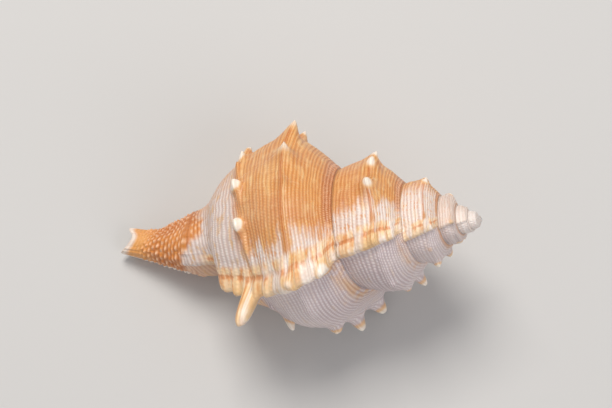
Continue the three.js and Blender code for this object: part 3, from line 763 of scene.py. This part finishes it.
turn, cord, row, tip, call = attr("turn"), attr("cord"), attr("row"), attr("tip"), attr("call")
canal, off, inner, since, dors, beadn = attr("canal"), attr("varix"), attr("inner"), attr("since"), attr("dors"), attr("beadn")
tc = nt.nodes.new("ShaderNodeTexCoord")
geo = tc.outputs["Object"]

cs = attr("cs")
cordw = m("ADD", m("DIVIDE", cord, 1.12), m("MULTIPLY", m("SUBTRACT", noise(vec(m("MULTIPLY", turn, 16.0), m("MULTIPLY", row, 2.2)), 1.0, 2.0, 0.5), 0.5), 0.9))
crest = wave(cordw)
cordi = m("ROUND", cordw)
streak = noise(vec(m("MULTIPLY", turn, 24.0), m("MULTIPLY", cord, 0.62)), 1.0, 3.0, 0.6)
streak2 = noise(vec(m("MULTIPLY_ADD", turn, 62.0, 31.0), m("MULTIPLY_ADD", cordi, 1.37, 7.0)), 1.0, 1.0, 0.5)
broad = noise(vec(m("MULTIPLY_ADD", turn, 9.0, 3.0), m("MULTIPLY", row, 1.4)), 1.0, 2.0, 0.5)
growth = noise(vec(m("MULTIPLY", turn, 90.0), m("MULTIPLY", row, 0.9)), 1.0, 3.0, 0.6)
cordvar = noise(vec(m("MULTIPLY", cordi, 3.77), m("MULTIPLY", turn, 5.0)), 1.0, 1.0, 0.5)
fine = noise(geo, 2600.0, 3.0, 0.6)
blotch = noise(geo, 190.0, 3.0, 0.55)
cloud = noise(geo, 75.0, 2.0, 0.5)

# dorsal tan: fine lines, paler streaks, pinkish clouds
bead = wave(m("ADD", beadn, m("MULTIPLY", cordi, 0.5)))
knot = m("MULTIPLY", crest, bead)
# the tan is paler on the cord crests and darker in the grooves: painted light and shade along the cords
tan = mix(crest, srgb(214, 138, 66), srgb(228, 162, 90))
tan = mix(m("MULTIPLY", step(cordvar, 0.5, 0.72), 0.55), tan, srgb(240, 188, 120))
tan = mix(m("MULTIPLY", step(streak, 0.50, 0.72), 0.65), tan, srgb(246, 208, 148))
tan = mix(m("MULTIPLY", knot, 0.22), tan, srgb(246, 208, 160))
tan = mix(m("MULTIPLY", step(cloud, 0.48, 0.66), 0.4), tan, srgb(212, 146, 106))
tan = mix(m("MULTIPLY", step(blotch, 0.55, 0.8), 0.4), tan, srgb(204, 130, 78))
tan = mix(m("MULTIPLY", step(growth, 0.56, 0.74), 0.35), tan, srgb(198, 122, 66))
tan = mix(m("MULTIPLY", step(growth, 0.46, 0.30), 0.25), tan, srgb(240, 192, 138))

# white with short orange dashes, just past each varix
dash = m("MULTIPLY", step(streak2, 0.56, 0.64), step(crest, 0.7, 0.3))
# the white is paler on the cord crests and darker in the grooves: painted light and shade along the cords
white = mix(crest, srgb(228, 206, 194), srgb(244, 230, 220))
white = mix(m("MULTIPLY", step(growth, 0.52, 0.72), 0.3), white, srgb(222, 198, 188))
white = mix(m("MULTIPLY", step(streak, 0.5, 0.66), 0.45), white, srgb(244, 214, 172))
white = mix(m("MULTIPLY", dash, 0.8), white, srgb(228, 156, 92))
edge_n = m("ADD", since, m("MULTIPLY", m("SUBTRACT", streak, 0.5), 0.09))
edge_n = m("ADD", edge_n, m("MULTIPLY", m("SUBTRACT", broad, 0.5), 0.10))
edge_n = m("ADD", edge_n, m("MULTIPLY", m("SUBTRACT", blotch, 0.5), 0.05))
w_mask = step(edge_n, attr("wlen"), m("MULTIPLY", attr("wlen"), 0.55))
dorsal = mix(w_mask, tan, white)

# darker beaded band under the suture
seam = m("MULTIPLY", step(m("ADD", row, m("MULTIPLY", m("SUBTRACT", broad, 0.5), 0.3)), 0.62, 0.30), step(since, 0.05, 0.10))
seam_c = mix(m("MULTIPLY", knot, 1.0), srgb(178, 100, 54), srgb(240, 184, 146))
dorsal = mix(m("MULTIPLY", seam, 0.72), dorsal, seam_c)
frill = m("MULTIPLY", step(row, 0.10, 0.18), step(row, 0.42, 0.30))
frill = m("MULTIPLY", frill, wave(m("ADD", m("MULTIPLY", turn, 62.0), m("MULTIPLY", broad, 5.0))))
dorsal = mix(m("MULTIPLY", m("MULTIPLY", frill, 0.8), step(broad, 0.35, 0.6)), dorsal, srgb(240, 190, 150))
dorsal = mix(m("MULTIPLY", step(row, 0.11, 0.05), 0.6), dorsal, srgb(136, 82, 54))
# orange line on the keel
pale = step(m("ABSOLUTE", m("SUBTRACT", row, 1.86)), 0.12, 0.03)
dorsal = mix(m("MULTIPLY", m("MULTIPLY", pale, step(streak, 0.42, 0.66)), 0.4), dorsal, srgb(246, 206, 152))
keel = m("MULTIPLY", step(m("ABSOLUTE", m("SUBTRACT", row, 2.06)), 0.13, 0.04), step(streak, 0.25, 0.45))
keel = m("MULTIPLY", keel, step(since, 0.03, 0.07))
dorsal = mix(m("MULTIPLY", keel, 0.75), dorsal, srgb(208, 122, 54))
spot = m("MULTIPLY", step(m("ABSOLUTE", m("SUBTRACT", row, 2.0)), 0.30, 0.16),
         m("MULTIPLY", step(since, 0.015, 0.03), step(since, 0.085, 0.06)))
dorsal = mix(m("MULTIPLY", spot, 0.8), dorsal, srgb(214, 144, 76))

# ventral lavender grey, ochre next to the sutures and on the shoulder
# the lavender is paler on the cord crests and darker in the grooves: painted light and shade along the cords
lav = mix(crest, srgb(198, 180, 182), srgb(216, 200, 202))
lav = mix(m("MULTIPLY", step(cloud, 0.46, 0.62), 0.4), lav, srgb(232, 220, 218))
lav = mix(m("MULTIPLY", step(cloud, 0.44, 0.32), 0.35), lav, srgb(176, 156, 160))
lav = mix(m("MULTIPLY", knot, 0.7), lav, srgb(244, 234, 230))
lav = mix(m("MULTIPLY", step(blotch, 0.45, 0.7), 0.35), lav, srgb(232, 218, 212))
lav = mix(m("MULTIPLY", step(growth, 0.5, 0.7), 0.3), lav, srgb(200, 180, 182))
lav = mix(m("MULTIPLY", step(streak, 0.56, 0.72), 0.3), lav, srgb(226, 196, 160))
och = step(m("ADD", row, m("MULTIPLY", m("SUBTRACT", streak, 0.5), 1.2)), 0.95, 0.2)
och = m("MULTIPLY", och, m("MULTIPLY_ADD", step(broad, 0.42, 0.58), 0.5, 0.25))
och = m("MULTIPLY", och, m("MULTIPLY_ADD", step(m("ADD", m("MULTIPLY", blotch, 0.5), m("MULTIPLY", streak2, 0.5)), 0.42, 0.56), 0.9, 0.2), clamp=True)
# the ochre is paler on the cord crests and darker in the grooves: painted light and shade along the cords
lav = mix(m("MULTIPLY", och, 0.85), lav, mix(m("MULTIPLY", crest, 0.7), srgb(204, 146, 84), srgb(236, 196, 144)))
lav = mix(m("MULTIPLY", step(tip, 0.06, 0.3), 0.6), lav, srgb(228, 172, 106))
col = mix(dors, lav, dorsal)

# base: pale between the second row and the canal, tan further on
# the base is paler on the cord crests and darker in the grooves: painted light and shade along the cords
base = mix(crest, srgb(216, 196, 188), srgb(234, 220, 212))
base = mix(m("MULTIPLY", step(growth, 0.5, 0.7), 0.3), base, srgb(206, 184, 176))
base = mix(m("MULTIPLY", step(streak, 0.52, 0.66), 0.7), base, srgb(222, 176, 118))
base = mix(m("MULTIPLY", step(m("ADD", since, m("MULTIPLY", m("SUBTRACT", streak, 0.5), 0.4)), 0.15, 0.36), 0.55), base, tan)
b_mask = step(m("ADD", row, m("MULTIPLY", m("SUBTRACT", streak, 0.5), 0.7)), 4.0, 4.4)
col = mix(b_mask, col, base)

# canal: orange brown with pale beads, smoother towards the end, white margins
cb = wave(m("ADD", m("MULTIPLY", turn, 21.0), m("MULTIPLY", m("ROUND", cs), 0.37)))
cm = m("MULTIPLY", m("POWER", wave(cs), 1.3), m("POWER", cb, 1.3))
can = mix(step(blotch, 0.35, 0.65), srgb(206, 122, 48), srgb(230, 150, 68))
# darker orange between the rows of beads: painted shade in the grooves
can = mix(m("MULTIPLY", m("SUBTRACT", 1.0, wave(cs)), 0.5), can, srgb(180, 96, 42))
can = mix(m("MULTIPLY", cm, 0.85), can, srgb(248, 206, 168))
can = mix(m("MULTIPLY", step(row, 8.8, 9.5), 0.8), can, mix(blotch, srgb(230, 152, 72), srgb(240, 180, 106)))
c_in = m("SUBTRACT", step(turn, -0.38, -0.48, 0.0, 5.0), step(turn, -0.36, -0.24, 0.0, 2.0))
c_mask = step(m("ADD", cord, m("MULTIPLY", m("SUBTRACT", blotch, 0.5), 11.0)), m("ADD", 52.8, c_in), m("ADD", 55.2, c_in))
c_mask = m("MAXIMUM", m("MULTIPLY", c_mask, 1.0), 0.0)
col = mix(c_mask, col, can)
margin = m("MAXIMUM", step(row, 9.72, 9.92), m("MULTIPLY", c_mask, step(m("ABSOLUTE", m("ADD", turn, 0.5)), 0.462, 0.49)))
margin = m("MAXIMUM", margin, step(m("ADD", attr("rim"), m("MULTIPLY", m("SUBTRACT", blotch, 0.5), 0.9)), 0.35, 0.65))
col = mix(m("MULTIPLY", margin, 0.9), col, srgb(242, 230, 218))

# varices: cream, orange across their upper side, white patches
v_n = noise(vec(m("MULTIPLY", cord, 0.85), m("MULTIPLY", turn, 30.0)), 1.0, 3.0, 0.6)
v_n2 = noise(vec(m("MULTIPLY", row, 1.6), m("MULTIPLY", turn, 14.0), 4.0), 1.0, 2.0, 0.5)
up = step(off, 0.000, 0.014)
vc = mix(step(blotch, 0.35, 0.7), srgb(242, 200, 142), srgb(250, 226, 194))
vc = mix(m("MULTIPLY", step(v_n, 0.46, 0.64), m("MULTIPLY_ADD", up, 0.6, 0.25)), vc, srgb(232, 158, 88))
line_ = m("MULTIPLY", step(m("ABSOLUTE", m("SUBTRACT", m("ADD", off, m("MULTIPLY", m("SUBTRACT", v_n2, 0.5), 0.006)), 0.021)), 0.0055, 0.0015), step(v_n, 0.36, 0.5))
vc = mix(m("MULTIPLY", line_, 0.75), vc, srgb(214, 132, 70))
vc = mix(m("MULTIPLY", step(v_n2, 0.48, 0.60), 0.85), vc, srgb(248, 236, 226))
wob = m("MULTIPLY", m("SUBTRACT", streak, 0.5), 0.020)
v_mask = m("MULTIPLY", step(m("ADD", off, wob), 0.044, 0.032), step(off, -0.015, -0.010))
v_mask = m("MULTIPLY", v_mask, step(cord, 56.0, 50.0))
col = mix(m("MULTIPLY", v_mask, attr("vstr")), col, vc)

# the oldest whorls fade to chalky white with orange sutures
old = step(turn, -2.2, -3.2)
col = mix(m("MULTIPLY", old, 0.7), col, mix(dors, srgb(216, 200, 194), srgb(228, 206, 192)))
col = mix(m("MULTIPLY", step(turn, -3.9, -4.6), 0.8), col, srgb(246, 236, 228))
dark = m("MULTIPLY", m("MULTIPLY", step(row, 0.55, 0.15), step(turn, -1.9, -2.3)), step(turn, -5.0, -4.2))
col = mix(m("MULTIPLY", dark, m("SUBTRACT", 0.75, m("MULTIPLY", v_mask, 0.5))), col, srgb(208, 150, 100))

# spines: cream flanks, white tips
tipn = m("ADD", tip, m("MULTIPLY", m("SUBTRACT", blotch, 0.5), 0.25))
col = mix(m("MULTIPLY", step(tipn, 0.10, 0.5), 0.75), col, srgb(242, 196, 138))
col = mix(step(tipn, 0.36, 0.85), col, srgb(252, 240, 224))
callus_c = mix(step(blotch, 0.4, 0.7), srgb(246, 234, 220), srgb(240, 222, 202))
col = mix(step(call, 0.2, 0.8), col, callus_c)
deep = step(turn, -0.12, -0.5)
ins = mix(deep, srgb(248, 236, 220), srgb(222, 178, 138))
col = mix(step(inner, 0.1, 0.3), col, ins)

# shade in the grooves, dust on the crests
plain = m("SUBTRACT", 1.0, m("MAXIMUM", inner, call), clamp=True)
groove = m("MULTIPLY", m("SUBTRACT", 1.0, crest), plain)
col = mix(m("MULTIPLY", groove, 0.16), col, srgb(176, 124, 88), "MULTIPLY")
col = mix(m("MULTIPLY", step(fine, 0.5, 0.8), 0.10), col, srgb(255, 250, 242))
nt.links.new(col, bsdf.inputs["Base Color"])

rough = m("ADD", m("MULTIPLY", m("SUBTRACT", blotch, 0.5), 0.18), 0.42)
rough = m("SUBTRACT", rough, m("MULTIPLY", m("MAXIMUM", call, inner), 0.2))
rough = m("SUBTRACT", rough, m("MULTIPLY", tip, 0.06))
nt.links.new(rough, bsdf.inputs["Roughness"])
bsdf.inputs["Metallic"].default_value = 0.0
bsdf.inputs["IOR"].default_value = 1.53
bsdf.inputs["Subsurface Weight"].default_value = 0.06
bsdf.inputs["Subsurface Radius"].default_value = (1.0, 0.6, 0.4)
bsdf.inputs["Subsurface Scale"].default_value = 0.0008
bsdf.inputs["Coat Weight"].default_value = 0.12
bsdf.inputs["Coat Roughness"].default_value = 0.3

# relief finer than the mesh: cords, granules, growth lines, pitting
gran = m("MULTIPLY", crest, m("MULTIPLY_ADD", bead, attr("gran"), m("SUBTRACT", 1.0, attr("gran"))))
gran = m("MULTIPLY", gran, m("SUBTRACT", 1.0, m("MULTIPLY", canal, 0.8)))
gran = m("MULTIPLY", gran, m("SUBTRACT", 1.0, m("MULTIPLY", tip, 0.8)))
h = m("MULTIPLY", gran, 0.75)
h = m("ADD", h, m("MULTIPLY", m("SUBTRACT", growth, 0.5), 0.8))
h = m("MULTIPLY", h, plain)
h = m("ADD", h, m("MULTIPLY", fine, 0.16))
bump = nt.nodes.new("ShaderNodeBump")
bump.inputs["Strength"].default_value = 0.7
bump.inputs["Distance"].default_value = 0.00017
nt.links.new(h, bump.inputs["Height"])
nt.links.new(bump.outputs[0], bsdf.inputs["Normal"])
mesh.materials.append(mat)

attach(shell, "root")
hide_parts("shell")

# ------------------------------------------------------------------- the view
TAU, BETA, FOCAL = math.radians(22.0), math.radians(4.5), 1500.0
la = np.array([math.cos(TAU) * math.cos(BETA), math.cos(TAU) * math.sin(BETA), math.sin(TAU)])
l2 = np.array([-math.sin(BETA), math.cos(BETA), 0.0])
l1 = np.cross(la, l2)
C = E.T @ np.array([l1, l2, la])      # world row vector to camera axes
right, up, toward = C[:, 0], C[:, 1], C[:, 2]
sa = FOCAL / (FOCAL - 190 * math.sin(TAU))
place_c = np.array([-175.8 / sa, 16.0 / sa, FOCAL - 190 * math.sin(TAU)]) * UNIT
eye = np.array(SHIFT) * 0.001 + C @ place_c
cam_data = bpy.data.cameras.new("camera")
cam = bpy.data.objects.new("camera", cam_data)
bpy.context.scene.collection.objects.link(cam)
R3 = Matrix((right, up, toward)).transposed()
cam.matrix_world = Matrix.Translation(Vector(eye)) @ R3.to_4x4()
cam_data.sensor_width = 36.0
cam_data.lens = FOCAL / 612.0 * 36.0
cam_data.clip_start, cam_data.clip_end = 0.01, 20.0
bpy.context.scene.camera = cam

floor_mesh = bpy.data.meshes.new("floor")
s_ = 3.0
floor_mesh.from_pydata([(-s_, -s_, 0), (s_, -s_, 0), (s_, s_, 0), (-s_, s_, 0)], [], [(0, 1, 2, 3)])
floor = bpy.data.objects.new("floor", floor_mesh)
bpy.context.scene.collection.objects.link(floor)
fm = bpy.data.materials.new("floor_paper")
fm.use_nodes = True
fb = fm.node_tree.nodes["Principled BSDF"]
fb.inputs["Base Color"].default_value = (0.60, 0.59, 0.575, 1)
fb.inputs["Roughness"].default_value = 0.85
fb.inputs["Specular IOR Level"].default_value = 0.2
floor_mesh.materials.append(fm)

world = bpy.data.worlds.new("studio")
world.use_nodes = True
world.node_tree.nodes["Background"].inputs[0].default_value = (0.97, 0.97, 1.0, 1)
world.node_tree.nodes["Background"].inputs[1].default_value = 0.42
bpy.context.scene.world = world


def softbox(name, where, size, watts, colour):
    """Area light at camera-frame place (right, up, toward) in metres from the shell."""
    centre = np.array([0.0, 0.0, 0.014])
    p = centre + C @ np.array(where)
    p[2] = max(p[2], 0.05)
    d = bpy.data.lights.new(name, "AREA")
    d.shape, d.size, d.energy, d.color = "SQUARE", size, watts, colour
    o = bpy.data.objects.new(name, d)
    o.location = p
    o.rotation_mode = "QUATERNION"
    o.rotation_quaternion = (Vector(centre) - Vector(p)).to_track_quat("-Z", "Y")
    bpy.context.scene.collection.objects.link(o)


softbox("key", (-0.10, 0.42, 0.42), 0.30, 2.85, (1.0, 0.97, 0.93))
softbox("fill", (0.40, -0.25, 0.50), 0.5, 1.2, (0.97, 0.97, 1.0))
bpy.context.scene.view_settings.view_transform = "Standard"
